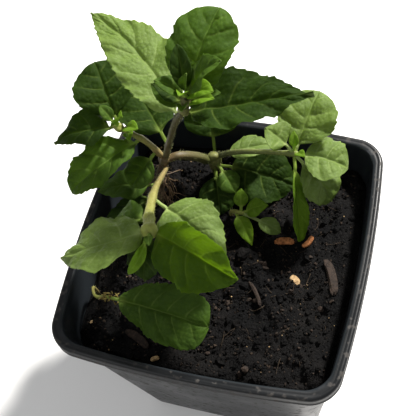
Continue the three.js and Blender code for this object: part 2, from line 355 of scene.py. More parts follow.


# upper side, its darker marbling and painted shade, underside, veins, light through it, roughness,
# translucency, gloss
LEAF = leaf_material("leaf", (0.06, 0.115, 0.012), (0.028, 0.06, 0.007), (0.11, 0.17, 0.04),
                     (0.2, 0.28, 0.06), (0.42, 0.62, 0.012), 0.55, 0.35)
# A thinner copy that lets more light through, with its upper side painted darker as shade.
THIN_LEAF_PAINTED_SHADE = leaf_material("leaf_thin_painted_shade", (0.045, 0.09, 0.01), (0.022, 0.05, 0.006), (0.1, 0.16, 0.03),
                     (0.22, 0.3, 0.05), (0.55, 0.75, 0.012), 0.55, 0.55)
# A paler copy of the leaf colour that paints sunlight and a whitish sheen on the leaves that lie in the
# sun.
LEAF_PAINTED_SUNLIT = leaf_material("leaf_pale", (0.16, 0.235, 0.05), (0.085, 0.14, 0.022), (0.23, 0.29, 0.12),
                     (0.3, 0.38, 0.13), (0.5, 0.65, 0.025), 0.5, 0.32, 0.25)
# A darker copy of the leaf colour that paints shade on the leaves that lie in shadow.
LEAF_PAINTED_SHADE = leaf_material("leaf_painted_shade", (0.022, 0.046, 0.005), (0.01, 0.023, 0.003), (0.06, 0.1, 0.028),
                     (0.12, 0.17, 0.032), (0.34, 0.5, 0.01), 0.55, 0.28, 0.06)
# The yellow-green of young leaves, also used as painted sunlight on the hanging right leaf, which lies in
# shade.
LEAF_YOUNG_AND_PAINTED_SUNLIT = leaf_material("leaf_young", (0.15, 0.26, 0.016), (0.08, 0.15, 0.01), (0.2, 0.3, 0.05),
                      (0.28, 0.38, 0.07), (0.45, 0.75, 0.02), 0.5, 0.4)
SOIL = soil_material()
POT = pot_material()
BARK = bark_material("bark", (0.1, 0.035, 0.012), (0.5, 0.2, 0.075))
BARK_DARK = bark_material("bark_dark", (0.005, 0.0035, 0.003), (0.032, 0.021, 0.015))
WITHERED = bark_material("withered", (0.08, 0.05, 0.015), (0.3, 0.24, 0.07))
HUSK = bark_material("husk", (0.18, 0.11, 0.05), (0.42, 0.29, 0.15))
FIBRE = bark_material("fibre", (0.01, 0.007, 0.005), (0.05, 0.034, 0.02))

# ---- Stems and leaves: the same routes and table as the CAD model, in millimetres ----
# name: (radius, taper, colour, points from the lower end to the upper end)
STEMS = {
    "centre_stem": (1.6, -0.1, "olive", [(-11, 32, 69.3), (-11, 31.5, 78), (-9.5, 30, 86)]),
    "runner_stem": (1.4, 0.1, "pink", [(-11.5, 28, 87), (-14, 25, 93), (-18, 22, 97), (-21.5, 20, 97)]),
    "crown_stem": (0.9, 0.15, "purple",
                   [(-21.5, 20, 99), (-17, 17, 112), (-11, 14, 128), (-6, 12, 138), (-4, 12, 144)]),
    "left_stem": (0.9, 0.1, "green", [(-23.5, 20.5, 98), (-28, 21, 105), (-36, 21, 111)]),
    "front_stem": (1.3, -0.5, "green",
                   [(-21.5, 18, 95), (-20.5, 6, 101.5), (-17.5, -6, 107.5), (-14, -14, 112)]),
    "right_stem": (0.9, 0.1, "brown", [(-7, 30, 88), (-1, 29.5, 92), (8, 29, 95), (19, 28, 98)]),
    "sprout_stem": (0.6, 0.1, "green",
                    [(-2, 16, 69.3), (-1.8, 16, 75), (0, 15.2, 77.5), (2.5, 14.5, 78.5)]),
    "root_stem": (1.2, 0.25, "woody", [(-29, 16, 69.3), (-27, 17, 82), (-24, 18.3, 94)]),
    "ground_stem": (0.5, 0.05, "green",
                    [(-39, -20, 69.3), (-39, -21, 78), (-36, -25, 81), (-31, -25, 82.5)]),
}
# The look of each stem: its material slot, and its colours at the lower and upper end.
STEM_COLOURS = {
    "green": ((0.2, 0.15, 0.06), (0.22, 0.26, 0.05)),
    "olive": ((0.07, 0.06, 0.022), (0.13, 0.14, 0.04)),
    "pink": ((0.06, 0.065, 0.018), (0.1, 0.065, 0.03)),
    "purple": ((0.07, 0.055, 0.025), (0.035, 0.035, 0.012)),
    "brown": ((0.05, 0.055, 0.018), (0.14, 0.17, 0.04)),
    "woody": ((0.03, 0.02, 0.012), (0.12, 0.08, 0.045)),
}
STEM_MATERIALS = {key: stem_material("stem_" + key, *colours) for key, colours in STEM_COLOURS.items()}
SHOOT_JOINT = (-22.3, 19.5, 96.8)
CENTRE_JOINT = (-9.8, 29.6, 87)

# Each leaf starts on its stem's surface, runs along its heading and rise, and ends in a pointed tip.
# stem, place along stem (0 to 1), heading, rise, length, width, petiole length,
# widest place (0 to 1), arch, fold, roll, sweep.
# Angles are in degrees; arch and sweep are shares of the length.
LEAVES = {
    "crown_leaf_left": ("crown_stem", 0.6, 141, 10, 43.5, 19, 1, 0.38, 0.03, 0.12, 0, -0.06),
    "crown_leaf_right": ("crown_stem", 0.68, 13, 8, 35.5, 21, 1, 0.34, 0, 0.38, 0, 0),
    "crown_leaf_back": ("crown_stem", 0.82, 74, 34, 26.3, 20, 2, 0.55, 0.12, 0.15, 0, 0),
    "crown_young_right": ("crown_stem", 1, 14, 52, 16, 10, 2, 0.45, 0.08, 0.25, 0, 0),
    "crown_young_left": ("crown_stem", 1, 110, 58, 13, 6, 1, 0.5, 0.08, 0.4, 0, 0),
    "left_leaf_round": ("left_stem", 0.95, 124, 31, 21, 20, 3, 0.5, 0.1, 0.1, 0, 0),
    "left_leaf_back": ("crown_stem", 0.2, 131, -3, 31, 20, 4, 0.42, 0.08, 0.1, 0, 0),
    "left_leaf_end": ("left_stem", 1, -159, -6, 20, 14, 1, 0.35, 0.1, 0.3, 0, 0),
    "left_leaf_front": ("left_stem", 0.58, -130, -8, 26.5, 16, 1, 0.55, 0.08, 0.3, 0, 0),
    "left_leaf_low": ("left_stem", 0.15, -118, -20, 13, 12, 2, 0.45, 0.08, 0.15, 0, 0),
    "front_leaf_left": ("front_stem", 1, -160, -14, 28, 21, 0.6, 0.4, 0.08, 0.15, -15, 0.04),
    "front_leaf_right": ("front_stem", 1, -19, -5, 28, 22, 0.6, 0.45, 0.06, 0.4, -48, 0),
    "ground_leaf": ("ground_stem", 1, -9, 8, 35, 19, 3, 0.68, 0.04, 0.15, -28, 0),
    "front_leaf_side": ("front_stem", 0.45, -30, -1, 30, 19, 5, 0.38, 0.08, 0.15, 0, 0),
    "front_leaf_back": ("front_stem", 0.75, 175, -35, 16, 12, 2, 0.38, 0.08, 0.15, 0, 0),
    "front_young": ("front_stem", 1, -98, -52, 15, 12, 0.6, 0.38, 0.08, 0.4, 0, 0),
    "right_leaf_top": ("right_stem", 1, 76, 24, 20, 20, 2, 0.5, 0.1, 0.15, 0, 0),
    "right_leaf_small": ("right_stem", 1, 160, 38, 11, 11, 3, 0.42, 0.1, 0.15, 0, 0),
    "right_leaf_end": ("right_stem", 1, -3, -8, 16, 16, 2, 0.5, 0.1, 0.15, 0, 0),
    "right_leaf_low": ("right_stem", 1, -29, -42, 19, 14, 3, 0.5, 0.1, 0.15, 0, 0),
    "right_leaf_hanging": ("right_stem", 1, -76, -46, 28, 7, 4, 0.6, 0.06, 0.45, 40, 0),
    "centre_leaf_back": ("centre_stem", 1, 103, 40, 20, 19, 5, 0.38, 0.08, 0.15, 0, 0),
    "centre_leaf_pale": ("centre_stem", 1, 22, 3, 18, 9, 3, 0.45, 0.08, 0.15, 0, 0),
    "centre_leaf_shaded": ("centre_stem", 0.6, -2, -12, 27, 22, 4, 0.42, 0.08, 0.15, -20, 0),
    "centre_leaf_front": ("centre_stem", 0.62, -72, -18, 16, 13, 3, 0.5, 0.08, 0.15, 0, 0),
    "centre_young": ("centre_stem", 0.9, -46, -22, 11.5, 8, 3, 0.45, 0.08, 0.15, 0, 0),
    "sprout_leaf_back": ("sprout_stem", 1, 100, 30, 7, 5, 1, 0.4, 0.08, 0.15, 0, 0),
    "sprout_leaf_end": ("sprout_stem", 1, 14, 25, 9, 7, 1, 0.4, 0.08, 0.15, 0, 0),
    "sprout_leaf_side": ("sprout_stem", 1, -18, -3, 14, 6, 6, 0.5, 0.08, 0.15, 0, 0),
    "sprout_leaf_low": ("sprout_stem", 0.7, -52, -12, 12, 6, 1, 0.4, 0.12, 0.4, 0, 0),
    "low_leaf_back": ("root_stem", 0.6, -161, 5, 19, 12, 2, 0.38, 0.08, 0.15, 0, 0),
    "low_leaf_front": ("root_stem", 0.4, -123, 2, 23, 12, 2, 0.38, 0.08, 0.15, 0, 0),
}
# Shoots too small for the CAD model: the bud at the top and the young leaves at the nodes.
BUDS = {
    "crown_bud_left": ("crown_stem", 0.97, -175, 45, 9, 6, 1, 0.45, 0.1, 0.3, 0, 0),
    "crown_bud_right": ("crown_stem", 0.97, -12, 38, 10, 7, 1, 0.45, 0.1, 0.3, 0, 0),
    "crown_bud_front": ("crown_stem", 1.0, -90, 55, 6, 4, 1, 0.4, 0.1, 0.5, 0, 0),
    "crown_bud_tip": ("crown_stem", 1.0, 60, 80, 7, 4, 1, 0.4, 0.1, 0.5, 0, 0),
    "crown_axil": ("crown_stem", 0.8, -75, 45, 6, 4, 1, 0.4, 0.1, 0.5, 0, 0),
    "crown_axil_left": ("crown_stem", 0.82, 170, 35, 9, 6, 1, 0.4, 0.1, 0.3, 0, 0),
    "crown_base_left": ("crown_stem", 0.75, 160, 30, 10, 8, 0.4, 0.4, 0.1, 0.3, 0, 0),
    "crown_base_right": ("crown_stem", 0.8, 15, 25, 10, 8, 0.4, 0.4, 0.1, 0.3, 0, 0),
    "crown_axil_right": ("crown_stem", 0.85, -5, 30, 9, 7, 1, 0.4, 0.1, 0.3, 0, 0),
    "left_bract": ("left_stem", 0.9, -20, 35, 8, 5, 1, 0.45, 0.1, 0.3, 0, 0),
    "left_bud": ("left_stem", 1.0, 150, 45, 7, 4.5, 1, 0.45, 0.1, 0.3, 0, 0),
    "left_sheath": ("left_stem", 1.0, -20, 60, 8, 6, 1, 0.4, 0.1, 0.3, 0, 0),
    "left_axil": ("left_stem", 0.8, -60, 30, 6, 3.6, 1, 0.4, 0.1, 0.4, 0, 0),
    "right_axil_front": ("right_stem", 1.0, -40, 40, 6, 3.4, 1, 0.4, 0.1, 0.4, 0, 0),
    "right_axil_back": ("right_stem", 1.0, 100, 50, 6, 3.4, 1, 0.4, 0.1, 0.4, 0, 0),
    "front_crescent": ("front_stem", 1.0, -106, -18, 12, 4, 2, 0.5, 0.1, 0.5, 30, 0.1),
    "front_axil": ("front_stem", 1.0, -70, 25, 5, 3, 1, 0.4, 0.1, 0.4, 0, 0),
}
# Leaves painted as in sunlight, with the paler copy and its painted sheen.
PAINTED_SUNLIT_LEAVES = (
    "crown_leaf_left", "right_leaf_top", "right_leaf_small", "right_leaf_end", "right_leaf_low",
    "centre_leaf_pale", "front_leaf_left", "front_leaf_side", "sprout_leaf_side",
)
# Leaves painted darker, as if in shade.
PAINTED_SHADE_LEAVES = (
    "crown_leaf_right", "crown_young_left", "crown_axil_left", "left_leaf_end", "left_leaf_round",
    "left_leaf_back", "centre_leaf_shaded", "centre_leaf_front", "centre_leaf_back", "low_leaf_front",
    "front_young",
)
THIN_PAINTED_SHADE_LEAVES = ("front_leaf_right",)
# Young leaves and buds, and the hanging right leaf painted bright as if in sunlight.
YOUNG_AND_PAINTED_SUNLIT_LEAVES = (
    "right_leaf_hanging", "sprout_leaf_back", "sprout_leaf_end", "sprout_leaf_low", "crown_bud_right",
    "crown_bud_front", "crown_axil_right", "left_sheath", "left_bract", "left_axil", "right_axil_front",
    "right_axil_back", "front_crescent",
)
# Each leaf's material, among them the copies painted as in sunlight and in shade.
LEAF_FINISH_AND_PAINTED_LIGHT = {
    **dict.fromkeys(PAINTED_SUNLIT_LEAVES, LEAF_PAINTED_SUNLIT),
    **dict.fromkeys(PAINTED_SHADE_LEAVES, LEAF_PAINTED_SHADE),
    **dict.fromkeys(THIN_PAINTED_SHADE_LEAVES, THIN_LEAF_PAINTED_SHADE),
    **dict.fromkeys(YOUNG_AND_PAINTED_SUNLIT_LEAVES, LEAF_YOUNG_AND_PAINTED_SUNLIT),
}

STEM_CLEARANCE = 0.5
OUTLINE_POWER = 0.62
FOLD_POWER = 1.3
PETIOLE_HALF = 0.5


def curve_points(stem, shares):
    """Points of a stem's route, and its direction there, at shares of it from 0 to 1."""
    route = np.array(STEMS[stem][3], float)
    route = np.vstack([2 * route[0] - route[1], route, 2 * route[-1] - route[-2]])
    last = len(route) - 4
    place = np.clip(np.atleast_1d(shares), 0, 1) * (last + 1)
    first = np.minimum(place.astype(int), last)
    f = (place - first)[:, None]
    p0, p1, p2, p3 = (route[first + k] for k in range(4))
    points = 0.5 * (2 * p1 + (p2 - p0) * f + (2 * p0 - 5 * p1 + 4 * p2 - p3) * f**2
                    + (3 * p1 - p0 - 3 * p2 + p3) * f**3)
    slopes = 0.5 * ((p2 - p0) + 2 * (2 * p0 - 5 * p1 + 4 * p2 - p3) * f
                    + 3 * (3 * p1 - p0 - 3 * p2 + p3) * f**2)
    return points, slopes / np.linalg.norm(slopes, axis=1)[:, None]


def stem_point(stem, share):
    return curve_points(stem, share)[0][0]


# ---- Leaves ----
LEAF_STEP = 0.36  # spacing of the blade's vertices
VEIN_LEAN = 1.9  # how far forward the side veins run before they meet the margin
VEIN_CURVE = 1.5
TOOTH_SPACING = 2.5
TOOTH_HEIGHT = 0.62
QUILT = 0.5  # how far the blade bulges between two side veins
CELL_SIZE = 1.5  # the net of small veins between them
CELL_RELIEF = 0.16
MIDRIB_HALF = 0.4
SIDE_VEIN_HALF = 0.35
GROOVE_HALF = 0.7  # the sunken line over the midrib
RIPPLE_HEIGHT = 0.8  # the wavy edge
RIPPLE_STEPS = (6.5, 3.1)
WARP_HEIGHT, WARP_SIZE = 0.6, 13  # the blade's slow bends
GROWN_WIDTH = 14  # a narrower leaf has smaller teeth, bulges and waves
BLADE_THICKNESS = 0.26
PETIOLE_THICKNESS = 0.9
ROOTED = 0.9  # how far a petiole reaches back into its stem


def cells(x, y, size, seed):
    """A net of irregular cells of about that size: 0 on the lines between them, 1 inside."""
    jitter = np.random.default_rng(seed).uniform(0.1, 0.9, (64, 64, 2))
    x, y = x / size, y / size
    column, row = np.floor(x).astype(int), np.floor(y).astype(int)
    reach = []
    for i in (-1, 0, 1):
        for j in (-1, 0, 1):
            spot = jitter[(column + i) % 64, (row + j) % 64]
            reach.append(np.hypot(column + i + spot[..., 0] - x, row + j + spot[..., 1] - y))
    reach = np.sort(np.stack(reach), axis=0)
    return smooth((reach[1] - reach[0]) / 0.5)


def blade_share(place, widest):
    """Half-width of the blade as a share of its widest, at a place from 0 at its base to 1 at its tip."""
    tip_power = OUTLINE_POWER * (1 - widest) / widest
    s = np.clip(place, 1e-6, 1 - 1e-6)
    peak = widest**OUTLINE_POWER * (1 - widest) ** tip_power
    return s**OUTLINE_POWER * (1 - s) ** tip_power / peak


def leaf_frame(heading, rise, roll):
    """The leaf's directions: along it, up and left of it, and its face and side once it is rolled."""
    h, e, r = (math.radians(a) for a in (heading, rise, roll))
    along = np.array([math.cos(h) * math.cos(e), math.sin(h) * math.cos(e), math.sin(e)])
    up = np.array([-math.cos(h) * math.sin(e), -math.sin(h) * math.sin(e), math.cos(e)])
    left = np.cross(up, along)
    face = up * math.cos(r) + left * math.sin(r)
    side = left * math.cos(r) - up * math.sin(r)
    return along, up, left, face, side


def leaf_veins(name, rng, u, t, place, half, blade, size):
    """The midrib, all veins, the bulge between them, and the sunken lines of the net of small veins,
    where shade is painted.
    """
    pairs = min(7, max(3, round(2.5 + blade / 11)))
    phase = u * pairs + 0.15 * np.sign(t) + 0.1 * np.sin(9 * u + rng.uniform(0, 6))
    to_vein = np.abs(phase - np.floor(phase) - 0.5) * 2  # 1 on a vein, 0 halfway between two
    off_vein = (1 - to_vein) * (blade / pairs) / 2
    side_vein = np.exp(-((off_vein / SIDE_VEIN_HALF) ** 2)) * (1 - 0.6 * np.abs(t) ** 2)
    midrib = np.exp(-((t * half / MIDRIB_HALF) ** 2)) * (1 - 0.5 * u)
    inner = smooth(np.abs(t) * half / 1.2) * smooth((1 - np.abs(t)) / 0.2)
    net = cells(place * blade, t * half, CELL_SIZE, len(name))
    bulge = size * (QUILT * (1 - to_vein**3) + CELL_RELIEF * (net - 1)) * inner
    bulge -= 0.4 * size * np.exp(-((t * half / GROOVE_HALF) ** 2))
    return midrib, np.maximum(side_vein * inner, midrib), bulge, (1 - net) * inner


def leaf_teeth(rng, t, margin, half, blade, size):
    """How far the small forward teeth push the margin out."""
    teeth = (margin * blade / TOOTH_SPACING + 0.3 * np.sign(t)
             + 0.3 * np.sin(11 * margin + rng.uniform(0, 6)))
    uneven = rng.uniform(0.3, 1.3, 80)[(np.floor(teeth).astype(int) + 40 * (t > 0)) % 80]
    saw = ((teeth - np.floor(teeth)) ** 1.3 - 0.35) * uneven
    reach = smooth((np.abs(t) - 0.72) / 0.28) * np.minimum(1, half / 3.5) * smooth((1 - margin) / 0.06)
    return TOOTH_HEIGHT * size * saw * reach


def leaf_edge(rng, u, t, margin, half, blade, width, size):
    """The lift of the wavy edge and of the drooping outer part of the blade."""
    start = rng.uniform(0, 6, size=2)[(t > 0).astype(int)]
    long_step, short_step = RIPPLE_STEPS
    ripple = (np.sin(margin * blade / long_step * math.pi + start)
              + 0.5 * np.sin(margin * blade / short_step * math.pi + 2 * start))
    ripple = RIPPLE_HEIGHT * size * ripple * np.abs(t) ** 2.5 * smooth(half / 4)
    droop = -rng.uniform(0.02, 0.1) * width * smooth((np.abs(t) - 0.45) / 0.55) * (0.4 + 0.6 * u)
    return ripple, droop


def leaf_surface(name, row):
    """The leaf's middle surface as a grid of points, and its attributes, in millimetres."""
    stem, at, heading, rise, length, width, petiole, widest, arch, fold, roll, sweep = row
    rng = rng_for(name)
    along, up, left, face, side = leaf_frame(heading, rise, roll)
    base = stem_point(stem, at) + along * (STEMS[stem][0] + STEM_CLEARANCE)
    blade = length - petiole
    size = min(1.0, width / GROWN_WIDTH)

    # t runs across the leaf from -1 to 1, and u along the blade from 0 to 1.
    stalk_rows = max(3, round((petiole + ROOTED) / 0.7))
    blade_rows = max(14, round(blade / LEAF_STEP))
    columns = max(7, round(width / 2 / LEAF_STEP))
    t = np.linspace(-1, 1, 2 * columns + 1)[None, :]
    u = 1 - (1 - np.linspace(0, 1, blade_rows + 1)[:, None]) ** (1 / math.sqrt(VEIN_LEAN))

    # Rows of the grid lean forward with the side veins.
    margin = 1 - (1 - u) ** VEIN_LEAN
    place = u + (margin - u) * np.abs(t) ** VEIN_CURVE
    floor = PETIOLE_HALF * smooth((1 - margin) / 0.08) + 0.05
    half = np.maximum(width / 2 * blade_share(margin, widest), floor) * np.ones_like(t)
    midrib, veins, bulge, vein_net_painted_shade = leaf_veins(name, rng, u, t, place, half, blade, size)
    half = half + leaf_teeth(rng, t, margin, half, blade, size)
    ripple, droop = leaf_edge(rng, u, t, margin, half, blade, width, size)

    def with_stalk(grid, value=0.0):
        """The blade's grid with the stalk's rows in front of it."""
        return np.vstack([np.full((stalk_rows, t.shape[1]), value), grid + 0 * t])

    stalk = with_stalk(smooth(1 - u * 7) * np.exp(-((t * half / 1.2) ** 2)), 1.0)
    half = with_stalk(half, PETIOLE_HALF)
    lift = with_stalk(bulge + ripple + droop)
    vein = with_stalk(veins, 0.6)
    distance_stalk = np.linspace(-ROOTED, petiole, stalk_rows + 1)[:-1, None] + 0 * t
    distance = np.vstack([distance_stalk, petiole + place * blade])

    bend = 4 * (distance / length) * (1 - distance / length) * length
    bend = np.where(distance < 0, 0, bend)
    cross = np.sqrt(1 - (fold * t) ** 2) * t * half
    rise_of_fold = fold * half * np.abs(t) ** FOLD_POWER
    points = (base + distance[..., None] * along + (arch * bend)[..., None] * up
              + (sweep * bend)[..., None] * left + cross[..., None] * side
              + (rise_of_fold + lift)[..., None] * face)
    warp = WARP_HEIGHT * size * waves(points.reshape(-1, 3), WARP_SIZE, len(name))
    points += warp.reshape(points.shape[:2])[..., None] * face
    thickness = with_stalk(np.full((blade_rows + 1, 1), BLADE_THICKNESS), PETIOLE_THICKNESS)
    thickness = thickness * (1 - 0.6 * np.abs(t) ** 4)
    rib = 0.5 * with_stalk(midrib * (1 - 0.6 * u)) + 0.16 * vein * size
    return points, face, thickness, rib, {"vein": vein, "petiole": stalk, "vein_net_painted_shade": with_stalk(vein_net_painted_shade)}


def leaf_piece(name, row, material, replaced=()):
    """A closed thin blade on its petiole, toothed, quilted and ribbed underneath."""
    points, face, thickness, rib, fields = leaf_surface(name, row)
    rows, columns = points.shape[:2]
    normal = np.cross(np.gradient(points, axis=1), np.gradient(points, axis=0))
    normal /= np.maximum(np.linalg.norm(normal, axis=2), 1e-9)[..., None]
    normal *= np.sign((normal @ face))[..., None]
    top = points + normal * thickness[..., None] / 2
    below = points - normal * (thickness / 2 + rib)[..., None]
    vertices = np.concatenate([top.reshape(-1, 3), below.reshape(-1, 3)]) * MM
    index = np.arange(rows * columns).reshape(rows, columns)
    a, b, c, d = index[:-1, :-1], index[1:, :-1], index[1:, 1:], index[:-1, 1:]
    upper = np.stack([a, d, c, b], axis=-1).reshape(-1, 4)
    lower = np.stack([a, b, c, d], axis=-1).reshape(-1, 4) + rows * columns
    rim = np.concatenate([index[0, :], index[1:, -1], index[-1, -2::-1], index[-2:0:-1, 0]])
    after = np.roll(rim, -1)
    wall = np.stack([rim, rim + rows * columns, after + rows * columns, after], axis=-1)
    faces = np.concatenate([upper, lower, wall])
    attributes = {key: np.tile(value.ravel(), 2) for key, value in fields.items()}
    attributes["under"] = np.repeat([0.0, 1.0], rows * columns)
    return make_piece(name, vertices, faces, [material], replaced, attributes)


# ---- Stems ----
STEM_SIDES = 16
STEM_STEP = 0.6
HAIRS_PER_MM2 = 1.6
HAIR_LENGTH = 0.55
HAIR_RADIUS = 0.035
STEM_ENDS = [(-1.4, 0.55), (-0.9, 0.85)]  # rounded: place along the stem, share of the radius


def stem_rings(name):
    """Rings of points along a stem, the directions out of it at each, and its length."""
    radius, taper, _, route = STEMS[name]
    length = np.linalg.norm(np.diff(np.array(route, float), axis=0), axis=1).sum()
    shares = np.linspace(0, 1, max(8, round(length / STEM_STEP)) + 1)
    centres, slopes = curve_points(name, shares)
    nodes = [row[1] for row in LEAVES.values() if row[0] == name]
    swell = sum(0.22 * np.exp(-(((shares - at) * length / 1.6) ** 2)) for at in nodes)
    radii = radius * (1 + taper - 2 * taper * shares) * (1 + np.minimum(swell, 0.35))
    before = [(centres[0] + slopes[0] * d, slopes[0], radii[0] * k) for d, k in STEM_ENDS]
    behind = [(centres[-1] - slopes[-1] * d, slopes[-1], radii[-1] * k) for d, k in reversed(STEM_ENDS)]
    start = unit(np.cross(slopes[0], [0.3, 0.9, 0.1]))
    angles = np.linspace(0, 2 * math.pi, STEM_SIDES, endpoint=False)
    rings, normals = [], []
    for centre, slope, r in before + list(zip(centres, slopes, radii)) + behind:
        start = unit(start - slope * (start @ slope))
        other = np.cross(slope, start)
        out = np.cos(angles)[:, None] * start + np.sin(angles)[:, None] * other
        squarish = 1 + 0.07 * np.cos(4 * angles) + 0.04 * waves(centre + out * r, 3, 5)
        rings.append(centre + out * (r * squarish)[:, None])
        normals.append(out)
    return rings, normals, length


def stem_hairs(rng, spots, outs, count):
    """Short hairs, each a thin pyramid that stands on one of the spots."""
    chosen = rng.integers(0, len(spots), count)
    foot = spots[chosen] + rng.normal(0, 0.12, (count, 3))
    aim = outs[chosen] + rng.normal(0, 0.35, (count, 3)) - np.array([0, 0, 0.2])
    aim /= np.linalg.norm(aim, axis=1)[:, None]
    flank = np.cross(aim, [0.31, 0.52, 0.8])
    flank /= np.linalg.norm(flank, axis=1)[:, None]
    other = np.cross(aim, flank)
    tall = HAIR_LENGTH * rng.uniform(0.5, 1.2, count)[:, None]
    corners = [foot - 0.3 * aim + HAIR_RADIUS * (math.cos(a) * flank + math.sin(a) * other)
               for a in (0, 2.1, 4.2)]
    vertices = np.stack([*corners, foot + aim * tall], axis=1).reshape(-1, 3)
    faces = []
    for f in range(0, len(vertices), 4):
        faces += [(f, f + 1, f + 3), (f + 1, f + 2, f + 3), (f + 2, f, f + 3), (f, f + 2, f + 1)]
    return vertices, faces


def stem_piece(name):
    """A tapering, slightly square stem with swollen nodes and short hairs."""
    radius, _, colour, _ = STEMS[name]
    rings, normals, length = stem_rings(name)
    inner = slice(len(STEM_ENDS), -len(STEM_ENDS))
    count = round(length * 2 * math.pi * radius * HAIRS_PER_MM2)
    hairs = stem_hairs(rng_for(name), np.concatenate(rings[inner]), np.concatenate(normals[inner]), count)
    vertices, faces = joined([loft(rings), hairs])
    tufts = len(hairs[0])
    along = np.concatenate([np.repeat(np.linspace(0, 1, len(rings)), STEM_SIDES), np.full(tufts, 0.5)])
    hair = np.concatenate([np.zeros(len(rings) * STEM_SIDES), np.ones(tufts)])
    return make_piece("mint_" + name, vertices * MM, faces, [STEM_MATERIALS[colour]],
                      [name], {"along": along, "hair": hair})


def knob(name, centre, size, colour):
    """A swollen node where stems or leaves meet."""
    shape, faces = icosphere(3)
    body = shape * (1 + 0.18 * waves(shape, 1.5, len(name), 2))[:, None] * size + centre
    zeros = np.zeros(len(body))
    return make_piece(name, body * MM, faces, [STEM_MATERIALS[colour]], (),
                      {"along": zeros + 0.8, "hair": zeros})


# ---- Pot ----
WALL = 1.2
RIM_HALF, RIM_CORNER, RIM_BOW = 45, 8, 2.6
FOOT_HALF, FOOT_CORNER, FOOT_BOW = 33, 6, 0.4
RIM_WIDTH = 3
SKIRT_HEIGHT = 5
FLOOR = 2.6
CORNER_STEPS, SIDE_STEPS = 14, 14
# The rolled double rim: (height above the skirt's lower edge, inset), then (depth below the top, inset).
LOWER_ROLL = [(0.5, 0.05), (1.0, 0.0), (1.3, 0.2), (1.8, 0.25)]
UPPER_ROLL = [(1.6, 0.2), (1.1, 0.0), (0.6, 0.1), (0.25, 0.35), (0.05, 0.75), (0, 1.1), (0.12, 1.5),
              (0.15, 1.8), (0.02, 2.2)]
INNER_LIP = [(0.2, 0.35), (0.6, 0.08), (1.2, 0)]  # depth below the top, how far the wall is thinned


def outline(half, corner, bow, z):
    """A square outline with rounded corners and sides that bow outwards."""
    flat = half - corner
    run = [(half, flat * (2 * k / SIDE_STEPS - 1)) for k in range(SIDE_STEPS)]
    for k in range(CORNER_STEPS):
        a = k / CORNER_STEPS * math.pi / 2
        run.append((flat + corner * math.cos(a), flat + corner * math.sin(a)))
    run = np.array(run)
    turns = [np.array([[c, s], [-s, c]]) for c, s in ((1, 0), (0, 1), (-1, 0), (0, -1))]
    x, y = np.concatenate([run @ turn for turn in turns]).T
    bowed_x = x * (1 + bow / half * (1 - (y / half) ** 2))
    bowed_y = y * (1 + bow / half * (1 - (x / half) ** 2))
    return np.column_stack([bowed_x, bowed_y, np.full(len(x), float(z))])


def wall_outline(z, inset):
    share = z / POT_HEIGHT
    half = FOOT_HALF + (RIM_HALF - RIM_WIDTH + WALL - FOOT_HALF) * share - inset
    corner = FOOT_CORNER + (RIM_CORNER - FOOT_CORNER) * share - inset
    return outline(half, corner, FOOT_BOW + (RIM_BOW - FOOT_BOW) * share, z)


def rim_outline(z, inset):
    return outline(RIM_HALF - inset, RIM_CORNER - inset, RIM_BOW, z)


def pot_piece():
    """The pot with a rolled double rim, a skirt, a tapering wall and drain holes."""
    top = POT_HEIGHT
    skirt = top - SKIRT_HEIGHT
    outside = [wall_outline(0, 1.0), wall_outline(0.3, 0.4), wall_outline(1, 0)]
    outside += [wall_outline(z, 0) for z in np.linspace(8, skirt - 1, 10)]
    outside += [wall_outline(skirt, 0), rim_outline(skirt, 0.9), rim_outline(skirt + 0.1, 0.3)]
    outside += [rim_outline(skirt + height, inset) for height, inset in LOWER_ROLL]
    outside += [rim_outline(top - depth, inset) for depth, inset in UPPER_ROLL]
    inside = [wall_outline(top - depth, WALL - thinned) for depth, thinned in INNER_LIP]
    inside += [wall_outline(z, WALL) for z in np.linspace(top - 4, FLOOR + 2, 12)]
    inside += [wall_outline(FLOOR, WALL + 1.5)]
    vertices, faces = loft(outside + inside)
    outer = np.zeros(len(vertices))
    outer[: len(outside) * len(outside[0])] = 1
    pot = make_piece("nursery_pot", vertices * MM, faces, [POT], ["pot"], {"outer": outer})
    cut_underside(pot)
    return pot


PAD_RADIUS = 12
FOOT_WIDTH = 4
RECESS_DEPTH = 1.2
DRAIN_RADIUS = 3.5
DRAIN_OFFSET = 20
ROUND_STEPS = 32


def cylinder(x, y, radius, low, high):
    angles = np.linspace(0, 2 * math.pi, ROUND_STEPS, endpoint=False)
    circle = np.column_stack([x + radius * np.cos(angles), y + radius * np.sin(angles)])
    return loft([np.column_stack([circle, np.full(ROUND_STEPS, z)]) for z in (low, high)])


def cut_underside(pot):
    """The recess between the middle pad and the outer foot, and the eight drain holes."""
    recess = [outline(FOOT_HALF - FOOT_WIDTH, FOOT_CORNER - 1, 0, z) for z in (-1, RECESS_DEPTH)]
    recess = cutter(loft(recess))
    boolean_cut(recess, cutter(cylinder(0, 0, PAD_RADIUS, -3, RECESS_DEPTH + 1)))
    boolean_cut(pot, recess)
    for k in range(8):
        reach = DRAIN_OFFSET * (math.sqrt(2) if k % 2 else 1)
        x, y = reach * math.cos(k * math.pi / 4), reach * math.sin(k * math.pi / 4)
        boolean_cut(pot, cutter(cylinder(x, y, DRAIN_RADIUS, -2, FLOOR + 1)))
    pot.data.shade_smooth()
    pot.modifiers.new("edges", "EDGE_SPLIT").split_angle = math.radians(40)


def cutter(shape):
    vertices, faces = shape
    return mesh_object("cutter", vertices * MM, faces)


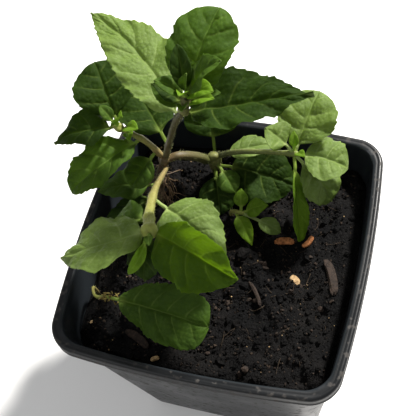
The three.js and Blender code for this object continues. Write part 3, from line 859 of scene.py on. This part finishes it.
def boolean_cut(target, tool):
    """Cuts the tool's shape out of the target and removes the tool."""
    cut = target.modifiers.new("cut", "BOOLEAN")
    cut.operation, cut.object, cut.solver = "DIFFERENCE", tool, "EXACT"
    bpy.context.view_layer.update()
    result = target.evaluated_get(bpy.context.evaluated_depsgraph_get())
    cut_mesh = bpy.data.meshes.new_from_object(result)
    target.modifiers.remove(cut)
    target.data = cut_mesh
    bpy.data.objects.remove(tool)


# ---- Soil ----
SOIL_TOP = 73
SOIL_BUMP = 0.8
SOIL_RINGS = 90
SOIL_GAP = 0.2
EDGE_GAP = 2.2  # loose things keep this far inside the bowed edge


def soil_height(x, y):
    """The lie of the soil, without its crumbs."""
    swell = np.sin(x / 7 + 1) * np.cos(y / 9) + 0.5 * np.sin((x + y) / 4)
    return SOIL_TOP + SOIL_BUMP * swell


def rough_height(x, y):
    """The height of the soil with its lumps."""
    flat = np.column_stack([x, y, np.zeros(len(x))])
    return (soil_height(x, y) + 0.75 * waves(flat, 9, 1, 2) + 0.5 * waves(flat, 3.4, 2, 2)
            + 0.3 * np.abs(waves(flat, 1.7, 3, 2)))


def soil_bed():
    """The body of the compost, with a lumpy surface."""
    side = WALL + SOIL_GAP
    edge = wall_outline(SOIL_TOP, side)
    rings = [wall_outline(FLOOR + 0.3, side + 2)]
    rings += [wall_outline(z, side) for z in (FLOOR + 3, 30, 55, SOIL_TOP - 3)]
    for share in np.linspace(1, 0.012, SOIL_RINGS):
        x, y = edge[:, 0] * share, edge[:, 1] * share
        sink = 1.6 * smooth((share - 0.94) / 0.06)
        rings.append(np.column_stack([x, y, rough_height(x, y) - sink]))
    vertices, faces = loft(rings)
    return make_piece("soil_bed", vertices * MM, faces, [SOIL], ["soil"],
                      {"tint": np.zeros(len(vertices))})


def icosphere(divisions):
    """Vertices and faces of a unit ball."""
    shape = bmesh.new()
    bmesh.ops.create_icosphere(shape, subdivisions=divisions, radius=1.0)
    vertices = np.array([v.co for v in shape.verts])
    faces = np.array([[v.index for v in f.verts] for f in shape.faces])
    shape.free()
    return vertices, faces


def soil_places(rng, count, margin=1.0):
    """Random places on the soil inside the pot."""
    half = np.abs(wall_outline(SOIL_TOP, WALL + margin)[:, 0]).max()
    spots = rng.uniform(-half, half, (count * 2, 2))
    over = np.maximum(np.abs(spots) - (half - EDGE_GAP - RIM_CORNER), 0)
    spots = spots[np.linalg.norm(over, axis=1) < RIM_CORNER]
    return spots[:count]


def scatter(name, count, sizes, squash, divisions, material, tint, lift, seed):
    """Many lumps of one kind, joined in one mesh and lying on the soil."""
    rng = np.random.default_rng(seed)
    shape, faces = icosphere(divisions)
    spots = soil_places(rng, count)
    count = len(spots)
    ground = rough_height(spots[:, 0], spots[:, 1])
    size = sizes[0] * (sizes[1] / sizes[0]) ** (rng.random(count) ** 1.8)
    parts, tints = [], []
    for k in range(count):
        turn = np.array(Matrix.Rotation(rng.uniform(0, 6.3), 3, Vector(rng.normal(size=3))))
        body = shape * (1 + 0.3 * waves(shape, 1.4, seed + k % 17, 2))[:, None]
        body = body * rng.uniform(*squash, 3)
        body = body @ turn.T * size[k]
        parts.append(body + [*spots[k], ground[k] + lift * size[k]])
        tints.append(np.full(len(shape), rng.random() ** 2 * tint))
    all_faces = np.concatenate([faces + k * len(shape) for k in range(count)])
    return make_piece(name, np.concatenate(parts) * MM, all_faces, [material], (),
                      {"tint": np.concatenate(tints)}, shade=False)


FIBRE_POINTS = 7
FIBRE_LIMIT = 39  # no fibre reaches past this square


def fibres(name, count, seed):
    """Thin root and peat fibres, bent and lying about on the soil."""
    rng = np.random.default_rng(seed)
    parts = []
    for x, y in soil_places(rng, count, 3.0):
        length = rng.uniform(1.5, 7)
        heading, bend = rng.uniform(0, 6.3), rng.normal(0, 0.9)
        s = np.linspace(0, 1, FIBRE_POINTS)
        angle = heading + bend * s
        px = x + np.cumsum(np.cos(angle)) * length / FIBRE_POINTS
        py = y + np.cumsum(np.sin(angle)) * length / FIBRE_POINTS
        if max(np.abs(px).max(), np.abs(py).max()) >= FIBRE_LIMIT:
            continue
        pz = rough_height(px, py) + rng.uniform(0.1, 0.7) + 0.6 * np.sin(s * math.pi) * rng.random()
        radius = rng.uniform(0.05, 0.16)
        rings = []
        for k, (point, a) in enumerate(zip(np.column_stack([px, py, pz]), angle)):
            across = np.array([-math.sin(a), math.cos(a), 0])
            up = np.array([0, 0, 1])
            taper = radius * (1 - 0.5 * k / (FIBRE_POINTS - 1))
            rings.append(point + taper * np.array([across, up, -across, -up]))
        parts.append(loft(rings))
    vertices, faces = joined(parts)
    return make_piece(name, vertices * MM, faces, [FIBRE], ())


# ---- Bark chips and the seed: the finish of each CAD node ----
CHIP_FINISH = {
    "bark_chip_long": BARK, "bark_chip_small": BARK, "bark_chip_round": HUSK, "bark_stick": BARK_DARK,
    "bark_slab": BARK_DARK, "bark_chip_left": BARK_DARK, "pale_chip": HUSK, "pale_seed": HUSK,
}


def chip_piece(node, material):
    """A split, fibrous chip that fills the box of its CAD solid's own mesh."""
    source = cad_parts[node].data
    corners = np.array([v.co for v in source.vertices]) / MM
    middle = corners.mean(0)
    flat = corners[:, :2] - middle[:2]
    long_way = np.linalg.eigh(flat.T @ flat)[1][:, 1]
    wide_way = np.array([-long_way[1], long_way[0]])
    half_long = np.abs(flat @ long_way).max()
    half_wide = np.abs(flat @ wide_way).max()
    low, high = corners[:, 2].min(), corners[:, 2].max()
    shape, faces = icosphere(4)
    seed = len(node)
    boxy = np.sign(shape) * np.abs(shape) ** 0.55
    grain = waves(shape * [0.6, 3.0, 3.0], 1.6, seed, 3)
    ends = 1 - 0.25 * np.abs(waves(shape, 1.1, seed + 1, 2))
    x = boxy[:, 0] * half_long * ends
    y = boxy[:, 1] * half_wide * (0.85 + 0.12 * grain) + 0.12 * half_long * (boxy[:, 0] ** 2 - 0.4)
    z = (low + high) / 2 + boxy[:, 2] * (high - low) / 2 * (0.75 + 0.2 * grain) - 0.4
    place = middle[:2] + np.outer(x, long_way) + np.outer(y, wide_way)
    return make_piece("loose_" + node, np.column_stack([place, z]) * MM, faces, [material],
                      [node])


# ---- Roots and withered scraps ----
ROOT_COUNT = 46
ROOT_FOOT = np.array([-27, 15.5, 74.5])  # where the bunch meets the soil
ROOT_HEAD = np.array([-24, 18, 94])  # below the shoots' joint
SHORT_ROOTS = 0.35  # the share that ends in the air
WITHERED_COUNT = 24
WITHERED_CENTRE = np.array([-31, -25, 82.6])


def root_fibres():
    """Fine brown roots that hang from the shoot's joint down to the soil."""
    rng = rng_for("root_fibres")
    parts = []
    for _ in range(ROOT_COUNT):
        foot = ROOT_FOOT + [rng.normal(0, 4.5), rng.normal(0, 3.5), 0]
        head = ROOT_HEAD + [rng.normal(0, 1.0), rng.normal(0, 1.0), -rng.random() * 7]
        if rng.random() < SHORT_ROOTS:
            foot[2] = rng.uniform(80, 90)
        s = np.linspace(0, 1, 14)[:, None]
        sway = np.outer(np.sin(s[:, 0] * math.pi), rng.normal(0, 1.6, 3))
        wiggle = np.sin(s * rng.uniform(6, 16) + rng.uniform(0, 6, 3)) * 0.35 * s
        parts.append(strand(head + (foot - head) * s + sway + wiggle, rng.uniform(0.1, 0.28)))
    vertices, faces = joined(parts)
    along = np.full(len(vertices), 0.8)
    make_piece("root_fibres", vertices * MM, faces, [STEM_MATERIALS["woody"]], (),
               {"along": along, "hair": np.zeros(len(vertices))})


def withered_bits():
    """Brown curled scraps where the low leaf's stalk meets its blade."""
    rng = rng_for("withered_bits")
    shape, faces = icosphere(2)
    parts = []
    for _ in range(WITHERED_COUNT):
        centre = WITHERED_CENTRE + rng.normal(0, 1, 3) * [1.5, 0.9, 0.6]
        stretch = rng.uniform([0.5, 0.2, 0.1], [1.4, 0.5, 0.25])
        turn = np.array(Matrix.Rotation(rng.uniform(0, 6.3), 3, Vector(rng.normal(size=3))))
        body = shape * (1 + 0.35 * waves(shape, 1.3, 7, 2))[:, None] * stretch @ turn.T + centre
        parts.append((body, faces.tolist()))
    vertices, faces = joined(parts)
    make_piece("withered_scraps", vertices * MM, faces, [WITHERED])


# ---- Floor, light and camera ----
def make_floor():
    """A pale floor just under the pot."""
    size, steps, height = 1.4, 12, -0.2 * MM
    grid = np.linspace(-size, size, steps)
    vertices = [(x, y, height) for y in grid for x in grid]
    faces = [(j * steps + i, j * steps + i + 1, (j + 1) * steps + i + 1, (j + 1) * steps + i)
             for j in range(steps - 1) for i in range(steps - 1)]
    floor = mesh_object("floor", vertices, faces)
    material, tree, shader = new_material("floor")
    colour = ramp(tree, noise(tree, 3, 2), [(0.3, (0.8, 0.8, 0.8)), (0.7, (0.86, 0.86, 0.86))])
    tree.links.new(colour, shader.inputs["Base Color"])
    shader.inputs["Roughness"].default_value = 0.8
    floor.data.materials.append(material)


def direction(azimuth, elevation):
    """The direction to a viewpoint; azimuth 0 is the front, and 90 the right."""
    a, e = math.radians(azimuth), math.radians(elevation)
    return Vector((math.sin(a) * math.cos(e), -math.cos(a) * math.cos(e), math.sin(e)))


def make_light(name, azimuth, elevation, distance, size, power, colour=(1, 1, 1)):
    """A square lamp that looks at the middle of the plant."""
    lamp = bpy.data.lights.new(name, "AREA")
    lamp.size, lamp.energy, lamp.color = size, power, colour
    obj = bpy.data.objects.new(name, lamp)
    back = direction(azimuth, elevation)
    obj.location = Vector((0, 0, RIM_Z)) + back * distance
    obj.rotation_euler = back.to_track_quat("Z", "Y").to_euler()
    bpy.context.scene.collection.objects.link(obj)


def make_camera():
    camera = bpy.data.objects.new("camera", bpy.data.cameras.new("camera"))
    camera.data.lens = CAMERA_LENS
    camera.data.clip_start = 0.01
    back = direction(CAMERA_AZIMUTH, CAMERA_ELEVATION)
    camera.location = Vector((*CAMERA_AIM, RIM_Z)) + back * CAMERA_DISTANCE
    turn = back.to_track_quat("Z", "Y").to_matrix() @ Matrix.Rotation(math.radians(CAMERA_ROLL), 3, "Z")
    camera.rotation_euler = turn.to_euler()
    bpy.context.scene.collection.objects.link(camera)
    bpy.context.scene.camera = camera


def make_world():
    world = bpy.data.worlds.new("world")
    world.use_nodes = True
    background = world.node_tree.nodes["Background"]
    background.inputs["Color"].default_value = (1.0, 1.0, 1.0, 1)
    background.inputs["Strength"].default_value = 0.4
    bpy.context.scene.world = world


make_camera()
make_world()
make_floor()
make_light("key", azimuth=152, elevation=44, distance=1.2, size=0.12, power=42, colour=(1.0, 0.97, 0.92))
make_light("fill", azimuth=-40, elevation=50, distance=1.0, size=0.8, power=2.5)
bpy.context.scene.view_settings.view_transform = "Standard"

pot_piece()
soil_bed()
# name, count, smallest and largest size, squash, roundness, material, tint, lift, seed
scatter("soil_lumps", 500, (0.6, 2.4), (0.5, 1.0), 2, SOIL, 0.5, 0.0, 11)
scatter("soil_crumbs", 7000, (0.16, 0.7), (0.5, 1.0), 1, SOIL, 1.0, 0.3, 12)
scatter("soil_splinters", 300, (0.4, 1.7), (0.2, 1.0), 1, BARK_DARK, 1.0, 0.3, 13)
scatter("soil_grit", 70, (0.18, 0.5), (0.6, 1.0), 1, HUSK, 1.0, 0.5, 14)
fibres("soil_fibres", 110, 15)
root_fibres()
withered_bits()
for chip, finish in CHIP_FINISH.items():
    chip_piece(chip, finish)
for stem in STEMS:
    stem_piece(stem)
knob("shoot_joint", SHOOT_JOINT, 2.0, "pink")
knob("centre_joint", CENTRE_JOINT, 2.1, "olive")
knob("crown_node", stem_point("crown_stem", 0.74), 1.8, "olive")
knob("crown_top_node", stem_point("crown_stem", 0.92), 1.6, "olive")
knob("left_node", stem_point("left_stem", 0.95), 1.6, "green")
for leaf, row in LEAVES.items():
    leaf_piece("mint_" + leaf, row, LEAF_FINISH_AND_PAINTED_LIGHT.get(leaf, LEAF), [leaf])
for bud, row in BUDS.items():
    leaf_piece(bud, row, LEAF_FINISH_AND_PAINTED_LIGHT.get(bud, LEAF))
